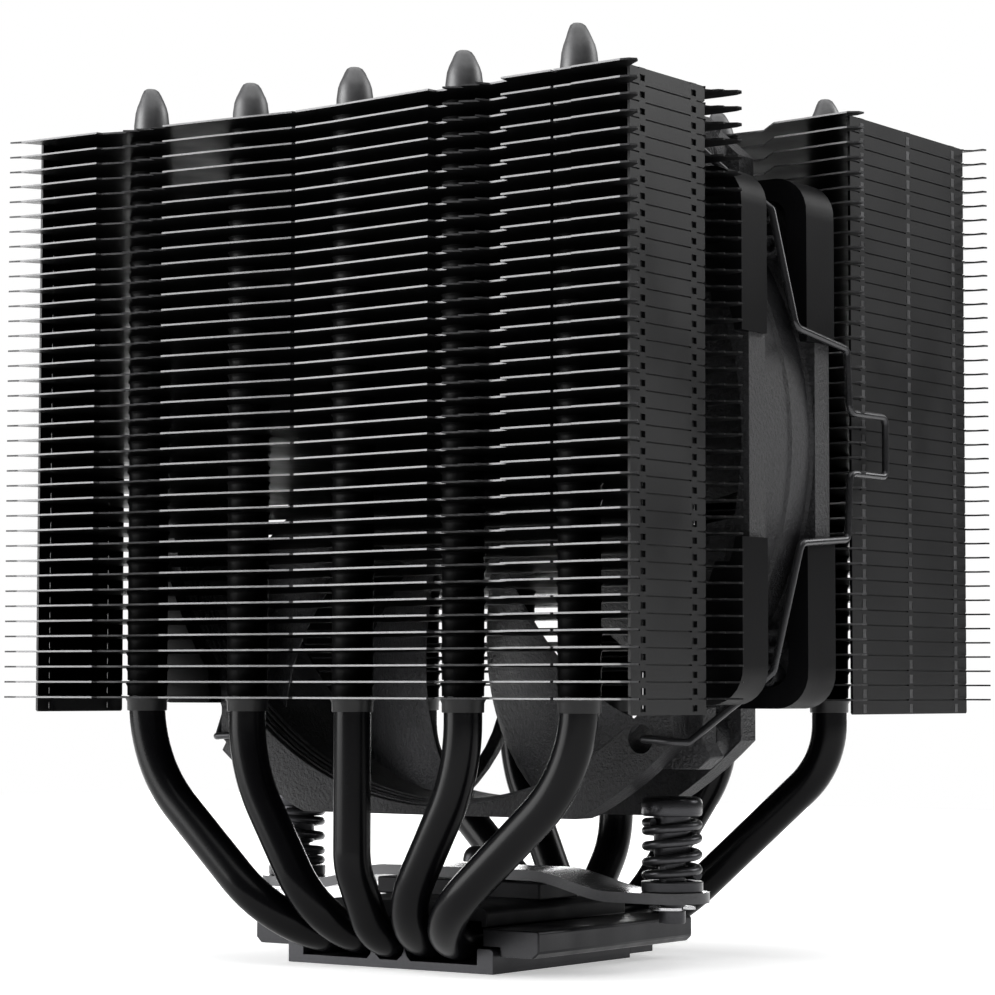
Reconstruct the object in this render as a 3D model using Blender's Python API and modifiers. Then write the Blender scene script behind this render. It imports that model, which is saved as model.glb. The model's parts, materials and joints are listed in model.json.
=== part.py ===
"""Dual tower processor cooler with one 120 mm fan between its fin stacks.

Frame: metres, +Z up, origin in the contact face of the base plate, under its
middle. X runs along the width of the fins, -Y is the side of the narrow tower.
"""
import math

import bmesh
import bpy
from mathutils import Matrix, Vector

MM = 0.001

# Heat pipes
PIPE_R = 3.0
PIPE_Z = 4.6                      # axis height where the pipes lie in the base
PIPE_TOP_X = (-43.4, -21.7, 0.0, 21.7, 43.4)
PIPE_BASE_PITCH = 6.4
FRONT_ROW_Y = -32.8
REAR_ROW_Y = 43.4
FRONT_PIPE_TOP = 145.2
REAR_PIPE_TOP = 146.2
# one entry for each distance from the middle: turning point y, height, radii
FRONT_BENDS = {2: (-33.28, 32.35, 23.4, 14.0), 1: (-31.54, 31.93, 29.2, 13.0), 0: (-26.43, 16.73, 9.7, 7.6)}
REAR_BENDS = {2: (39.35, 32.32, 14.8, 10.7), 1: (38.08, 31.42, 20.0, 10.3), 0: (32.96, 18.0, 14.0, 10.0)}

# Fin stacks
FIN_T = 0.45
WALL_X = 58.43                    # inner face of a side wall
WALL_T = 0.8
FIN_HALF = 62.5                   # tip of a fin's ear
HOLE_HALF = 3.4
FRONT_COUNT, FRONT_PITCH, FRONT_Z = 38, 2.515, 43.1
REAR_COUNT, REAR_PITCH, REAR_Z = 40, 2.456, 42.81
FRONT_WALL_Y = (-42.91, -22.07)
REAR_WALL_Y = (23.28, 63.57)

# Base
BASE_HALF_X, BASE_HALF_Y = 20.6, 23.2
BASE_FLOOR, BASE_LIP = 1.3, 3.9
BASE_STEP_Y, BASE_STEP = 16.2, 0.65
CLAMP_HALF_X, CLAMP_HALF_Y = 17.2, 20.0
CLAMP_BOTTOM, CLAMP_TOP = 7.9, 10.6

# Mounting bar and its two sprung screws
BAR_Y, BAR_W, BAR_T = 1.0, 12.0, 2.4
BAR_END_Z, BAR_RISE = 10.6, 2.6
SCREW_X = 38.5
WASHER_Z, WASHER_T = 13.3, 0.6
SPRING_Z = (14.2, 24.2)
SPRING_COIL_R, SPRING_WIRE_R = 4.15, 0.7

# Fan
FAN_Y, FAN_Z = 1.9, 84.0
FAN_HALF_DEPTH = 12.5
DUCT_R, DRUM_R = 57.6, 59.9
BLADES, BLADE_TIP_R = 9, 56.8
HUB_R = 20.5
CLIP_R = 0.6
CLIP_AXIS_X, CLIP_AXIS_Y = 40.5, -10.8


# ---------------------------------------------------------------- helpers

for old in list(bpy.data.objects):
    bpy.data.objects.remove(old, do_unlink=True)

PARTS = bpy.data.collections.new("cpu_tower_cooler")
HELPERS = bpy.data.collections.new("cutters")
bpy.context.scene.collection.children.link(PARTS)
bpy.context.scene.collection.children.link(HELPERS)


def material(name, colour, roughness, metallic):
    mat = bpy.data.materials.new(name)
    mat.use_nodes = True
    bsdf = mat.node_tree.nodes["Principled BSDF"]
    bsdf.inputs["Base Color"].default_value = (*colour, 1.0)
    bsdf.inputs["Roughness"].default_value = roughness
    bsdf.inputs["Metallic"].default_value = metallic
    mat.diffuse_color = (*colour, 1.0)
    return mat


def place(obj, mat=None, helper=False, parent=None):
    (HELPERS if helper else PARTS).objects.link(obj)
    if helper:
        obj.hide_render = True
        obj.display_type = "WIRE"
    elif mat is not None:
        obj.data.materials.append(mat)
    if parent is not None:
        obj.parent = parent
        obj.matrix_parent_inverse = parent.matrix_world.inverted()
    return obj


def solid_from(name, bm, location=(0, 0, 0)):
    mesh = bpy.data.meshes.new(name)
    bm.to_mesh(mesh)
    bm.free()
    obj = bpy.data.objects.new(name, mesh)
    obj.location = Vector(location) * MM
    return obj


def box_mesh(bm, low, high, origin=(0, 0, 0)):
    """Adds a box between two corners given in mm, measured from origin."""
    made = bmesh.ops.create_cube(bm, size=1.0)
    size = [(b - a) * MM for a, b in zip(low, high)]
    mid = [((a + b) / 2 - o) * MM for a, b, o in zip(low, high, origin)]
    bmesh.ops.scale(bm, vec=size, verts=made["verts"])
    bmesh.ops.translate(bm, vec=mid, verts=made["verts"])


def cylinder_mesh(bm, radius, z0, z1, centre, steps, turn=0.0, axis="Z"):
    """Adds a closed cylinder of polygons; flat sides stand at radius*cos(pi/steps)."""
    made = bmesh.ops.create_cone(bm, cap_ends=True, segments=steps, radius1=radius * MM, radius2=radius * MM, depth=(z1 - z0) * MM)
    spin = Matrix.Rotation(turn, 4, "Z")
    tilt = Matrix.Rotation(math.radians(-90), 4, "X") if axis == "Y" else Matrix.Identity(4)
    along = Vector((0, (z0 + z1) / 2, 0)) if axis == "Y" else Vector((0, 0, (z0 + z1) / 2))
    move = Matrix.Translation((Vector(centre) + along) * MM)
    bmesh.ops.transform(bm, matrix=move @ tilt @ spin, verts=made["verts"])


def to_mesh(curve_obj, name, flat=False):
    """A curve's evaluated mesh as a mesh object in the same place, with its caps welded and flat faces left whole."""
    bpy.context.scene.collection.objects.link(curve_obj)
    bpy.context.view_layer.update()
    shape = curve_obj.evaluated_get(bpy.context.evaluated_depsgraph_get())
    mesh = bpy.data.meshes.new_from_object(shape)
    bm = bmesh.new()
    bm.from_mesh(mesh)
    bmesh.ops.remove_doubles(bm, verts=bm.verts, dist=0.000005)
    if flat:
        bmesh.ops.dissolve_limit(bm, angle_limit=0.001, verts=bm.verts, edges=bm.edges)
    bmesh.ops.recalc_face_normals(bm, faces=bm.faces)
    bm.to_mesh(mesh)
    bm.free()
    mesh.name = name
    mesh.materials.clear()
    obj = bpy.data.objects.new(name, mesh)
    obj.matrix_world = curve_obj.matrix_world.copy()
    bpy.data.objects.remove(curve_obj, do_unlink=True)
    return obj


def plate(name, outline, thickness, axis="Z", at=(0, 0, 0)):
    """A flat outline in mm with a thickness, standing along Z or along Y, with its middle plane at the place given."""
    data = bpy.data.curves.new(name + "_outline", "CURVE")
    data.dimensions = "2D"
    data.fill_mode = "BOTH"
    data.extrude = thickness / 2 * MM
    data.render_resolution_u = 0
    line = data.splines.new("POLY")
    line.points.add(len(outline) - 1)
    for point, (a, b) in zip(line.points, outline):
        point.co = (a * MM, b * MM, 0, 1)
    line.use_cyclic_u = True
    obj = bpy.data.objects.new(name + "_outline", data)
    obj.location = Vector(at) * MM
    if axis == "Y":
        obj.rotation_euler = (math.radians(90), 0, 0)
    return to_mesh(obj, name, flat=True)


def tube(name, points, radius, resolution, widths=None):
    """A round bar through the points, in mm."""
    data = bpy.data.curves.new(name + "_path", "CURVE")
    data.dimensions = "3D"
    data.bevel_depth = radius * MM
    data.bevel_resolution = resolution
    data.use_fill_caps = True
    data.render_resolution_u = 0
    line = data.splines.new("POLY")
    line.points.add(len(points) - 1)
    for k, point in enumerate(points):
        line.points[k].co = (point[0] * MM, point[1] * MM, point[2] * MM, 1)
        line.points[k].radius = 1.0 if widths is None else widths[k]
    obj = bpy.data.objects.new(name + "_path", data)
    return to_mesh(obj, name)


def turned(name, profile, steps, at=(0, 0, 0), axis="Z", ring=False):
    """A profile of (radius, height) pairs in mm, top to bottom down its outer side, turned about its axis."""
    mesh = bpy.data.meshes.new(name)
    bm = bmesh.new()
    verts = [bm.verts.new((r * MM, 0, z * MM)) for r, z in profile]
    for a, b in zip(verts, verts[1:]):
        bm.edges.new((a, b))
    if ring:
        bm.edges.new((verts[-1], verts[0]))
    bm.to_mesh(mesh)
    bm.free()
    obj = bpy.data.objects.new(name, mesh)
    obj.location = Vector(at) * MM
    if axis == "Y":
        obj.rotation_euler = (math.radians(-90), 0, 0)
    screw = obj.modifiers.new("turn", "SCREW")
    screw.axis = "Z"
    screw.steps = steps
    screw.render_steps = steps
    screw.use_merge_vertices = True
    screw.merge_threshold = 0.00001
    screw.use_smooth_shade = True
    return obj


def boolean(obj, other, operation):
    cut = obj.modifiers.new(operation.lower(), "BOOLEAN")
    cut.operation = operation
    cut.solver = "EXACT"
    cut.object = other
    return cut


def rounded_path(points, radii, steps):
    """The points with each inner corner turned into an arc of its own radius."""
    points = [Vector(p) for p in points]
    path = [points[0]]
    for k in range(1, len(points) - 1):
        before, corner, after = points[k - 1], points[k], points[k + 1]
        u, v = (before - corner).normalized(), (after - corner).normalized()
        angle = u.angle(v)
        if math.pi - angle < 0.02:
            path.append(corner)
            continue
        reach = radii[k - 1] / math.tan(angle / 2)
        centre = corner + (u + v).normalized() * (radii[k - 1] / math.sin(angle / 2))
        start, end, sweep = corner + u * reach - centre, corner + v * reach - centre, math.pi - angle
        for step in range(steps + 1):
            t = step / steps
            path.append(centre + (start * math.sin((1 - t) * sweep) + end * math.sin(t * sweep)) / math.sin(sweep))
    path.append(points[-1])
    return path


def smooth(t):
    t = min(1.0, max(0.0, t))
    return t * t * (3 - 2 * t)


NICKEL = material("nickel_plate", (0.32, 0.32, 0.33), 0.3, 1.0)
BLACK_PIPE = material("black_pipe", (0.03, 0.03, 0.032), 0.35, 0.6)
BLACK_FIN = material("black_fin", (0.035, 0.035, 0.037), 0.45, 0.5)
BLACK_BAR = material("black_bar", (0.03, 0.03, 0.032), 0.25, 0.7)
STEEL = material("screw_steel", (0.1, 0.1, 0.105), 0.3, 0.9)
SPRING_STEEL = material("spring_steel", (0.07, 0.07, 0.075), 0.3, 0.9)
FRAME_PLASTIC = material("frame_plastic", (0.03, 0.03, 0.031), 0.55, 0.0)
BLADE_PLASTIC = material("blade_plastic", (0.028, 0.028, 0.03), 0.45, 0.0)
PAD_RUBBER = material("pad_rubber", (0.02, 0.02, 0.021), 0.8, 0.0)
BRIGHT_STEEL = material("bright_steel", (0.55, 0.55, 0.56), 0.25, 1.0)
BRASS = material("bearing_brass", (0.72, 0.55, 0.28), 0.3, 1.0)
COPPER = material("coil_copper", (0.72, 0.38, 0.2), 0.4, 0.9)
MAGNET = material("magnet", (0.12, 0.12, 0.12), 0.8, 0.0)
BOARD = material("circuit_board", (0.05, 0.2, 0.1), 0.6, 0.0)


# ---------------------------------------------------------------- base

cusp = [(1.9, BASE_FLOOR), (3.2, 3.6), (4.5, BASE_FLOOR)]
half = [(BASE_HALF_X, 0), (BASE_HALF_X, BASE_LIP), (17.5, BASE_LIP), (17.5, BASE_FLOOR)] + cusp[::-1]
section = half + [(-x, z) for x, z in half[::-1]]
base_plate = place(plate("base_plate", section, BASE_HALF_Y * 2, axis="Y"), NICKEL)
bm = bmesh.new()
box_mesh(bm, (-30, BASE_STEP_Y, -2), (30, 30, BASE_STEP))
boolean(base_plate, place(solid_from("base_step_cutter", bm), helper=True), "DIFFERENCE")

half = [(CLAMP_HALF_X, 7.0), (CLAMP_HALF_X, 9.7), (14.2, CLAMP_TOP)]
section = half + [(-x, z) for x, z in half[::-1]] + [(-16.2, 7.0), (-16.2, CLAMP_BOTTOM), (16.2, CLAMP_BOTTOM), (16.2, 7.0)]
place(plate("base_clamp", section, CLAMP_HALF_Y * 2, axis="Y"), NICKEL)

for side, sign in (("left", -1), ("right", 1)):
    section = [(17.7, 4.2), (20.95, 4.2), (20.95, 2.7), (27.4, 2.7), (28.5, 3.6), (28.5, 6.6), (28.1, 6.9), (17.7, 6.9)]
    place(plate("wing_bar_" + side, [(sign * x, z) for x, z in section], 45.0, axis="Y", at=(0, 0.5, 0)), NICKEL)


# ---------------------------------------------------------------- heat pipes

def pipe_half(k, row_y, top, bends):
    step = abs(k - 2)
    turn_y, height, r1, r2 = bends[step]
    x_top, x_base = PIPE_TOP_X[k], (k - 2) * PIPE_BASE_PITCH
    corners = [(x_top, row_y, top - 6.5), (x_top, row_y, height), (x_base, turn_y, PIPE_Z), (x_base, 0, PIPE_Z)]
    tip = [Vector((x_top, row_y, top)), Vector((x_top, row_y, top - 0.9)), Vector((x_top, row_y, top - 3.2))]
    return tip + rounded_path(corners, (r1, r2), 3), [0.28, 0.5, 0.62]


for k in range(5):
    front, tip = pipe_half(k, FRONT_ROW_Y, FRONT_PIPE_TOP, FRONT_BENDS)
    rear, _ = pipe_half(k, REAR_ROW_Y, REAR_PIPE_TOP, REAR_BENDS)
    path = front[:-1] + rear[-2::-1]
    widths = tip + [1.0] * (len(path) - 6) + tip[::-1]
    pipe = tube("heatpipe_%d" % (k + 1), path, PIPE_R, 2, widths)
    pipe.data.shade_smooth()
    place(pipe, BLACK_PIPE)


# ---------------------------------------------------------------- fin stacks

def fin_stack(name, outline, count, pitch, z_low, wall_y, row_y):
    blank = plate(name + "_fin_blank", outline, FIN_T, at=(0, 0, z_low + FIN_T / 2))
    place(blank, helper=True)
    row = blank.modifiers.new("stack", "ARRAY")
    row.count = count
    row.use_relative_offset = False
    row.use_constant_offset = True
    row.constant_offset_displace = (0, 0, pitch * MM)
    row.use_merge_vertices = False
    bm = bmesh.new()
    z_top = z_low + (count - 1) * pitch
    for sign in (-1, 1):
        a, b = sorted((sign * WALL_X, sign * (WALL_X + WALL_T)))
        box_mesh(bm, (a, wall_y[0], z_low - 0.9 * pitch), (b, wall_y[1], z_top + FIN_T / 2))
    stack = place(solid_from(name, bm), BLACK_FIN)
    boolean(stack, blank, "UNION")
    bm = bmesh.new()
    for x in PIPE_TOP_X:
        box_mesh(bm, (x - HOLE_HALF, row_y - HOLE_HALF, z_low - 4), (x + HOLE_HALF, row_y + HOLE_HALF, z_top + 4))
    boolean(stack, place(solid_from(name + "_hole_cutter", bm), helper=True), "DIFFERENCE")
    return stack


def mirrored(right_half):
    """A whole outline from its right half, which runs up the +X side; points on the middle line aren't doubled."""
    return right_half + [(-x, y) for x, y in right_half[::-1] if x > 0.01]


INSIDE_WALL = WALL_X + 0.25
front_outline = mirrored([(0, -42.4), (FIN_HALF, -46.9), (INSIDE_WALL, -42.5), (INSIDE_WALL, -22.5), (61.6, -18.2)])
rear_outline = mirrored([(40.4, 27.4), (45.6, 21.8), (62.3, 20.8), (INSIDE_WALL, 23.6), (INSIDE_WALL, 63.3), (FIN_HALF, 66.1), (0, 62.6)])
fin_stack("fin_stack_front", front_outline, FRONT_COUNT, FRONT_PITCH, FRONT_Z, FRONT_WALL_Y, FRONT_ROW_Y)
fin_stack("fin_stack_rear", rear_outline, REAR_COUNT, REAR_PITCH, REAR_Z, REAR_WALL_Y, REAR_ROW_Y)


# ---------------------------------------------------------------- mounting bar

samples = [29 - 11 * k / 4 for k in range(5)]
top_right = [(45.0, BAR_END_Z + BAR_T)] + [(x, BAR_END_Z + BAR_T + BAR_RISE * smooth((29 - x) / 11)) for x in samples]
top_edge = top_right + [(-x, z) for x, z in top_right[::-1]]
section = top_edge + [(x, z - BAR_T) for x, z in top_edge[::-1]]
crossbar = place(plate("crossbar", section, BAR_W, axis="Y", at=(0, BAR_Y, 0)), BLACK_BAR)
end_arc = [(SCREW_X + 6 * math.cos(a), BAR_Y + 6 * math.sin(a)) for a in [math.radians(-90 + 22.5 * k) for k in range(9)]]
plan = end_arc + [(-x, y) for x, y in end_arc[::-1]]
boolean(crossbar, place(plate("crossbar_plan_cutter", plan, 30.0, at=(0, 0, 12)), helper=True), "INTERSECT")
bm = bmesh.new()
for x, r in ((-SCREW_X, 2.6), (0, 1.9), (SCREW_X, 2.6)):
    cylinder_mesh(bm, r, 0, 30, (x, BAR_Y, 0), 12)
boolean(crossbar, place(solid_from("crossbar_hole_cutter", bm), helper=True), "DIFFERENCE")

profile = [(0, 18.6), (1.3, 18.4), (2.1, 17.7), (2.3, 16.9), (2.3, 15.95), (1.45, 15.95), (1.45, 12.85), (2.9, 12.85), (2.9, 10.95), (0, 10.95)]
place(turned("crossbar_screw", profile, 12, at=(0, BAR_Y, 0)), STEEL)

turns = 4.4
for side, sign in (("left", -1), ("right", 1)):
    mount = bpy.data.objects.new("screw_axis_" + side, None)
    mount.location = (sign * SCREW_X * MM, BAR_Y * MM, 0)
    PARTS.objects.link(mount)
    bpy.context.view_layer.update()
    spot = (sign * SCREW_X, BAR_Y, 0)
    # head, sleeve, shank with its clip groove, and a threaded bore open at the lower end
    profile = [(0, 25.9), (1.6, 25.9), (2.0, 27.5), (4.4, 27.5), (4.9, 27.0), (4.9, 24.5), (2.9, 24.5), (2.9, 18.2), (2.15, 17.6),
               (2.15, 10.2), (1.6, 10.2), (1.6, 9.3), (2.15, 9.3), (2.15, 7.4), (1.1, 7.4), (1.1, 14.0), (0, 14.6)]
    place(turned("spring_screw_" + side, profile, 12, at=spot), STEEL, parent=mount)
    gap = math.radians(34)
    ring = [math.radians(0) + gap + (2 * math.pi - 2 * gap) * k / 9 for k in range(10)]
    outline = [(3.7 * math.cos(a), 3.7 * math.sin(a)) for a in ring] + [(1.85 * math.cos(a), 1.85 * math.sin(a)) for a in ring[::-1]]
    clip = plate("retaining_clip_" + side, [(sign * x, y) for x, y in outline], 0.5, at=(sign * SCREW_X, BAR_Y, 9.85))
    place(clip, BRIGHT_STEEL, parent=mount)
    ring = [(4.9, WASHER_Z + WASHER_T), (4.9, WASHER_Z), (3.4, WASHER_Z), (3.4, WASHER_Z + WASHER_T)]
    place(turned("thrust_washer_" + side, ring, 16, at=spot, ring=True), STEEL, parent=mount)
    low, high = SPRING_Z[0] + SPRING_WIRE_R, SPRING_Z[1] - SPRING_WIRE_R
    count = int(turns * 8)
    coil = []
    for k in range(count + 1):
        t = k / count
        # the end turns lie flatter than those between them
        rise = 0.5 - 0.5 * math.cos(math.pi * t)
        z = low + (high - low) * (0.72 * t + 0.28 * rise)
        a = 2 * math.pi * turns * t
        coil.append((sign * (SCREW_X + SPRING_COIL_R * math.cos(a)), BAR_Y + SPRING_COIL_R * math.sin(a), z))
    spring = tube("screw_spring_" + side, coil, SPRING_WIRE_R, 1)
    spring.data.shade_smooth()
    place(spring, SPRING_STEEL, parent=mount)


# ---------------------------------------------------------------- fan

hub = bpy.data.objects.new("fan_axis", None)
hub.location = (0, FAN_Y * MM, FAN_Z * MM)
PARTS.objects.link(hub)
bpy.context.view_layer.update()
FAN_AT = (0, FAN_Y, FAN_Z)

quarter = [(28.4, -60), (46, -48.5), (45.8, -41.0), (54.5, -41.4), (58.4, -39.8), (60, -35.9)]
side_right = quarter + [(x, -z) for x, z in quarter[::-1]]
flange = side_right + [(-x, z) for x, z in side_right[::-1]]
# a plate that stands along Y shows its outline with x to the right and z up
front_flange = plate("fan_frame", flange, FAN_HALF_DEPTH * 2, axis="Y", at=FAN_AT)
place(front_flange, FRAME_PLASTIC, parent=hub)
bm = bmesh.new()
cylinder_mesh(bm, DRUM_R, -9.0, 9.5, FAN_AT, 48, axis="Y")
drum = place(solid_from("fan_drum", bm), helper=True)
# what lies between the two flanges, outside the drum
bm = bmesh.new()
box_mesh(bm, (-80, -7.5, -80), (80, 7.9, 80))
waist = place(solid_from("fan_waist_cutter", bm, location=FAN_AT), helper=True)
boolean(waist, drum, "DIFFERENCE")
bm = bmesh.new()
cylinder_mesh(bm, DUCT_R, -16, 16, FAN_AT, 48, axis="Y")
bore = place(solid_from("fan_bore_cutter", bm), helper=True)
bm = bmesh.new()
for x in (-40, 40):
    for z in (-47.1, 47.1):
        cylinder_mesh(bm, 2.3, -16, 16, (x, FAN_Y, FAN_Z + z), 8, turn=math.radians(22.5), axis="Y")
holes = place(solid_from("fan_hole_cutter", bm), helper=True)
boolean(front_flange, waist, "DIFFERENCE")
boolean(front_flange, bore, "DIFFERENCE")
boolean(front_flange, holes, "DIFFERENCE")
# motor seat on the outlet side, held by six struts
bm = bmesh.new()
cylinder_mesh(bm, HUB_R, 10.6, 12.3, FAN_AT, 24, axis="Y")
seat = place(solid_from("motor_seat", bm), helper=True)
spokes = []
for k in range(6):
    angle = math.radians(60 * k + 18)
    bm = bmesh.new()
    box_mesh(bm, (18.5, 10.2, -1.3), (58.6, 12.1, 1.3))
    bmesh.ops.rotate(bm, cent=(0, 0, 0), matrix=Matrix.Rotation(angle, 3, "Y"), verts=bm.verts)
    spoke = place(solid_from("strut_%d" % k, bm, location=FAN_AT), helper=True)
    spokes.append(spoke)
bm = bmesh.new()
cylinder_mesh(bm, 4.6, -4.0, 11.0, FAN_AT, 12, axis="Y")
boss = place(solid_from("bearing_boss", bm), helper=True)
bm = bmesh.new()
cylinder_mesh(bm, 3.45, -6.0, 10.4, FAN_AT, 12, axis="Y")
boss_bore = place(solid_from("boss_bore_cutter", bm), helper=True)
for spoke in spokes:
    boolean(front_flange, spoke, "UNION")
boolean(front_flange, seat, "UNION")
boolean(front_flange, boss, "UNION")
boolean(front_flange, boss_bore, "DIFFERENCE")

# impeller: a cup with nine swept blades
cup = [(0, 11.4), (19.3, 11.4), (HUB_R, 10.2), (HUB_R, -8.3), (19.1, -8.3), (19.1, 9.9), (0, 9.9)]
impeller = turned("impeller", cup, 27, at=FAN_AT, axis="Y")
impeller.rotation_euler = (math.radians(90), 0, 0)
place(impeller, BLADE_PLASTIC, parent=hub)
mesh = bpy.data.meshes.new("blade_sheets")
bm = bmesh.new()
radii = [19.8, 29, 38, 47.5, BLADE_TIP_R]
for blade in range(BLADES):
    grid = []
    for j, r in enumerate(radii):
        t = (r - radii[0]) / (radii[-1] - radii[0])
        chord = math.radians(37 - 6 * t)
        lean = math.radians(13 * t * t)
        row = []
        for i in range(4):
            s = i / 3 - 0.5
            a = 2 * math.pi * blade / BLADES + lean + chord * s
            y = (15.0 - 4.5 * t) * s + 1.1 * math.cos(math.pi * s) * (1 - t)
            row.append(bm.verts.new((r * math.cos(a) * MM, y * MM, r * math.sin(a) * MM)))
        grid.append(row)
    for a, b in zip(grid, grid[1:]):
        for i in range(3):
            bm.faces.new((a[i], a[i + 1], b[i + 1], b[i]))
bmesh.ops.recalc_face_normals(bm, faces=bm.faces)
bm.to_mesh(mesh)
bm.free()
sheets = bpy.data.objects.new("blade_sheets", mesh)
sheets.location = Vector(FAN_AT) * MM
shell = sheets.modifiers.new("thickness", "SOLIDIFY")
shell.thickness = 1.3 * MM
shell.offset = 0
place(sheets, helper=True)
boolean(impeller, sheets, "UNION")

# rotor: steel cup, magnet ring, shaft and its retainer; along Y the inlet side is negative
rotor_cup = [(18.5, 9.5), (18.5, -7.6), (17.8, -7.6), (17.8, 8.8), (2.1, 8.8), (2.1, 9.5)]
obj = turned("rotor_cup", rotor_cup, 20, at=FAN_AT, ring=True)
obj.rotation_euler = (math.radians(90), 0, 0)
place(obj, BRIGHT_STEEL, parent=hub)
obj = turned("rotor_magnet", [(17.3, 4.5), (17.3, -6.5), (15.2, -6.5), (15.2, 4.5)], 20, at=FAN_AT, ring=True)
obj.rotation_euler = (math.radians(90), 0, 0)
place(obj, MAGNET, parent=hub)
shaft = [(0, 9.4), (1.5, 9.4), (1.5, -7.6), (0.95, -7.6), (0.95, -8.6), (1.5, -8.6), (1.5, -9.4), (0, -9.4)]
obj = turned("rotor_shaft", shaft, 12, at=FAN_AT)
obj.rotation_euler = (math.radians(90), 0, 0)
place(obj, BRIGHT_STEEL, parent=hub)
obj = turned("shaft_retainer", [(2.7, -7.9), (2.7, -8.3), (1.3, -8.3), (1.3, -7.9)], 12, at=FAN_AT, ring=True)
obj.rotation_euler = (math.radians(90), 0, 0)
place(obj, BRIGHT_STEEL, parent=hub)
# stator
for name, profile, mat in (
    ("bearing_sleeve", [(3.0, 3.6), (3.0, -7.3), (1.9, -7.3), (1.9, 3.6)], BRASS),
    ("stator_stack", [(14.6, 3.0), (14.6, -3.6), (5.1, -3.6), (5.1, 3.0)], BRIGHT_STEEL),
    ("stator_coils", [(12.6, 6.2), (12.6, 3.3), (5.6, 3.3), (5.6, 6.2)], COPPER),
    ("motor_circuit_board", [(17.0, -8.6), (17.0, -9.6), (5.2, -9.6), (5.2, -8.6)], BOARD),
):
    obj = turned(name, profile, 16, at=FAN_AT, ring=True)
    obj.rotation_euler = (math.radians(90), 0, 0)
    place(obj, mat, parent=hub)

# soft corner pads on both faces
arc = [(58.9 * math.cos(math.radians(a)), 58.9 * math.sin(math.radians(a))) for a in (20, 26, 32, 38)]
pad = arc + [(46.4, 41.0), (54.3, 41.0), (57.9, 39.5), (59.4, 36.0), (59.4, arc[0][1])]
for face, y, depth in (("front", -12.3, 2.8), ("rear", 15.85, 2.3)):
    for level, sz in (("top", 1), ("bottom", -1)):
        for side, sx in (("left", -1), ("right", 1)):
            outline = [(sx * a, sz * b) for a, b in pad]
            obj = plate("pad_%s_%s_%s" % (face, level, side), outline, depth, axis="Y", at=(0, y, FAN_Z))
            place(obj, PAD_RUBBER, parent=hub)

# wire clips: hooked in the front flange, back between the flanges and into the rear tower's edge
route = [(40.5, -8.2, 36.9), (40.5, -11.5, 36.9), (46.4, -11.5, 36.5), (48.0, -9.2, 36.4), (52.2, -1.4, 42.6), (57.6, 0.6, 47.5), (61.0, 3.5, 67.7),
         (61.0, 18.6, 68.8), (61.4, 18.6, 81.1), (61.6, 30.3, 81.1), (61.6, 30.3, 90.9), (61.4, 18.6, 90.9), (61.0, 18.6, 99.6),
         (61.0, 2.2, 101.7), (57.6, 0.6, 120.5), (52.2, -1.4, 125.4), (48.0, -9.2, 131.6), (46.4, -11.5, 131.5), (40.5, -11.5, 131.1), (40.5, -8.2, 131.1)]
for side, sign in (("left", -1), ("right", 1)):
    hinge = bpy.data.objects.new("clip_axis_" + side, None)
    hinge.location = (sign * CLIP_AXIS_X * MM, CLIP_AXIS_Y * MM, FAN_Z * MM)
    PARTS.objects.link(hinge)
    bpy.context.view_layer.update()
    path = rounded_path([(sign * x, y, z) for x, y, z in route], [1.0] * (len(route) - 2), 1)
    wire = tube("fan_clip_" + side, path, CLIP_R, 1)
    wire.data.shade_smooth()
    place(wire, BRIGHT_STEEL, parent=hinge)
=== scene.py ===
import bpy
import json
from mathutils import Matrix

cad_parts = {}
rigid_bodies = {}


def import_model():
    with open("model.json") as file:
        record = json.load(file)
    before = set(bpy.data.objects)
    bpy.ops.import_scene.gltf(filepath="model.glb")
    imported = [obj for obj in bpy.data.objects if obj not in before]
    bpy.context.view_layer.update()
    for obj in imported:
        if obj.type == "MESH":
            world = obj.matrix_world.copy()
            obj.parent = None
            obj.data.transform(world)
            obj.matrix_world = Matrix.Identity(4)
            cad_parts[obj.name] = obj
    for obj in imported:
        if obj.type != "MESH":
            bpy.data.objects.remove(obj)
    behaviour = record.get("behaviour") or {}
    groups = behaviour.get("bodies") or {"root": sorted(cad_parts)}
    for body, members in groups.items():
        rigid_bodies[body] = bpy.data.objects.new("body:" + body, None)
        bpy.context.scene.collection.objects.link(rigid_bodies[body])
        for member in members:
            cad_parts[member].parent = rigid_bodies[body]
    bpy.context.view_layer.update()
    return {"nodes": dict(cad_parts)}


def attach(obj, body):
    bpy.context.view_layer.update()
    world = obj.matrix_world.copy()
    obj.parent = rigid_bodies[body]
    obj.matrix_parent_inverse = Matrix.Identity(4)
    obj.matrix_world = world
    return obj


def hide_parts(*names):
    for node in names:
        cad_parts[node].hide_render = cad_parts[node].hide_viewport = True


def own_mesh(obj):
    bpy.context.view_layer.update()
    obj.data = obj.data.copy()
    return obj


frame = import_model()

import json
import math

import bmesh
import bpy
import numpy as np
from mathutils import Matrix, Vector
from mathutils.geometry import tessellate_polygon

MM = 0.001
FAN_AT = (0.0, 1.9, 84.0)

for old in [o for o in bpy.data.objects if o.type in ("LIGHT", "CAMERA") or o.name == "Cube"]:
    bpy.data.objects.remove(old, do_unlink=True)


# ------------------------------------------------------------------ materials

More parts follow.
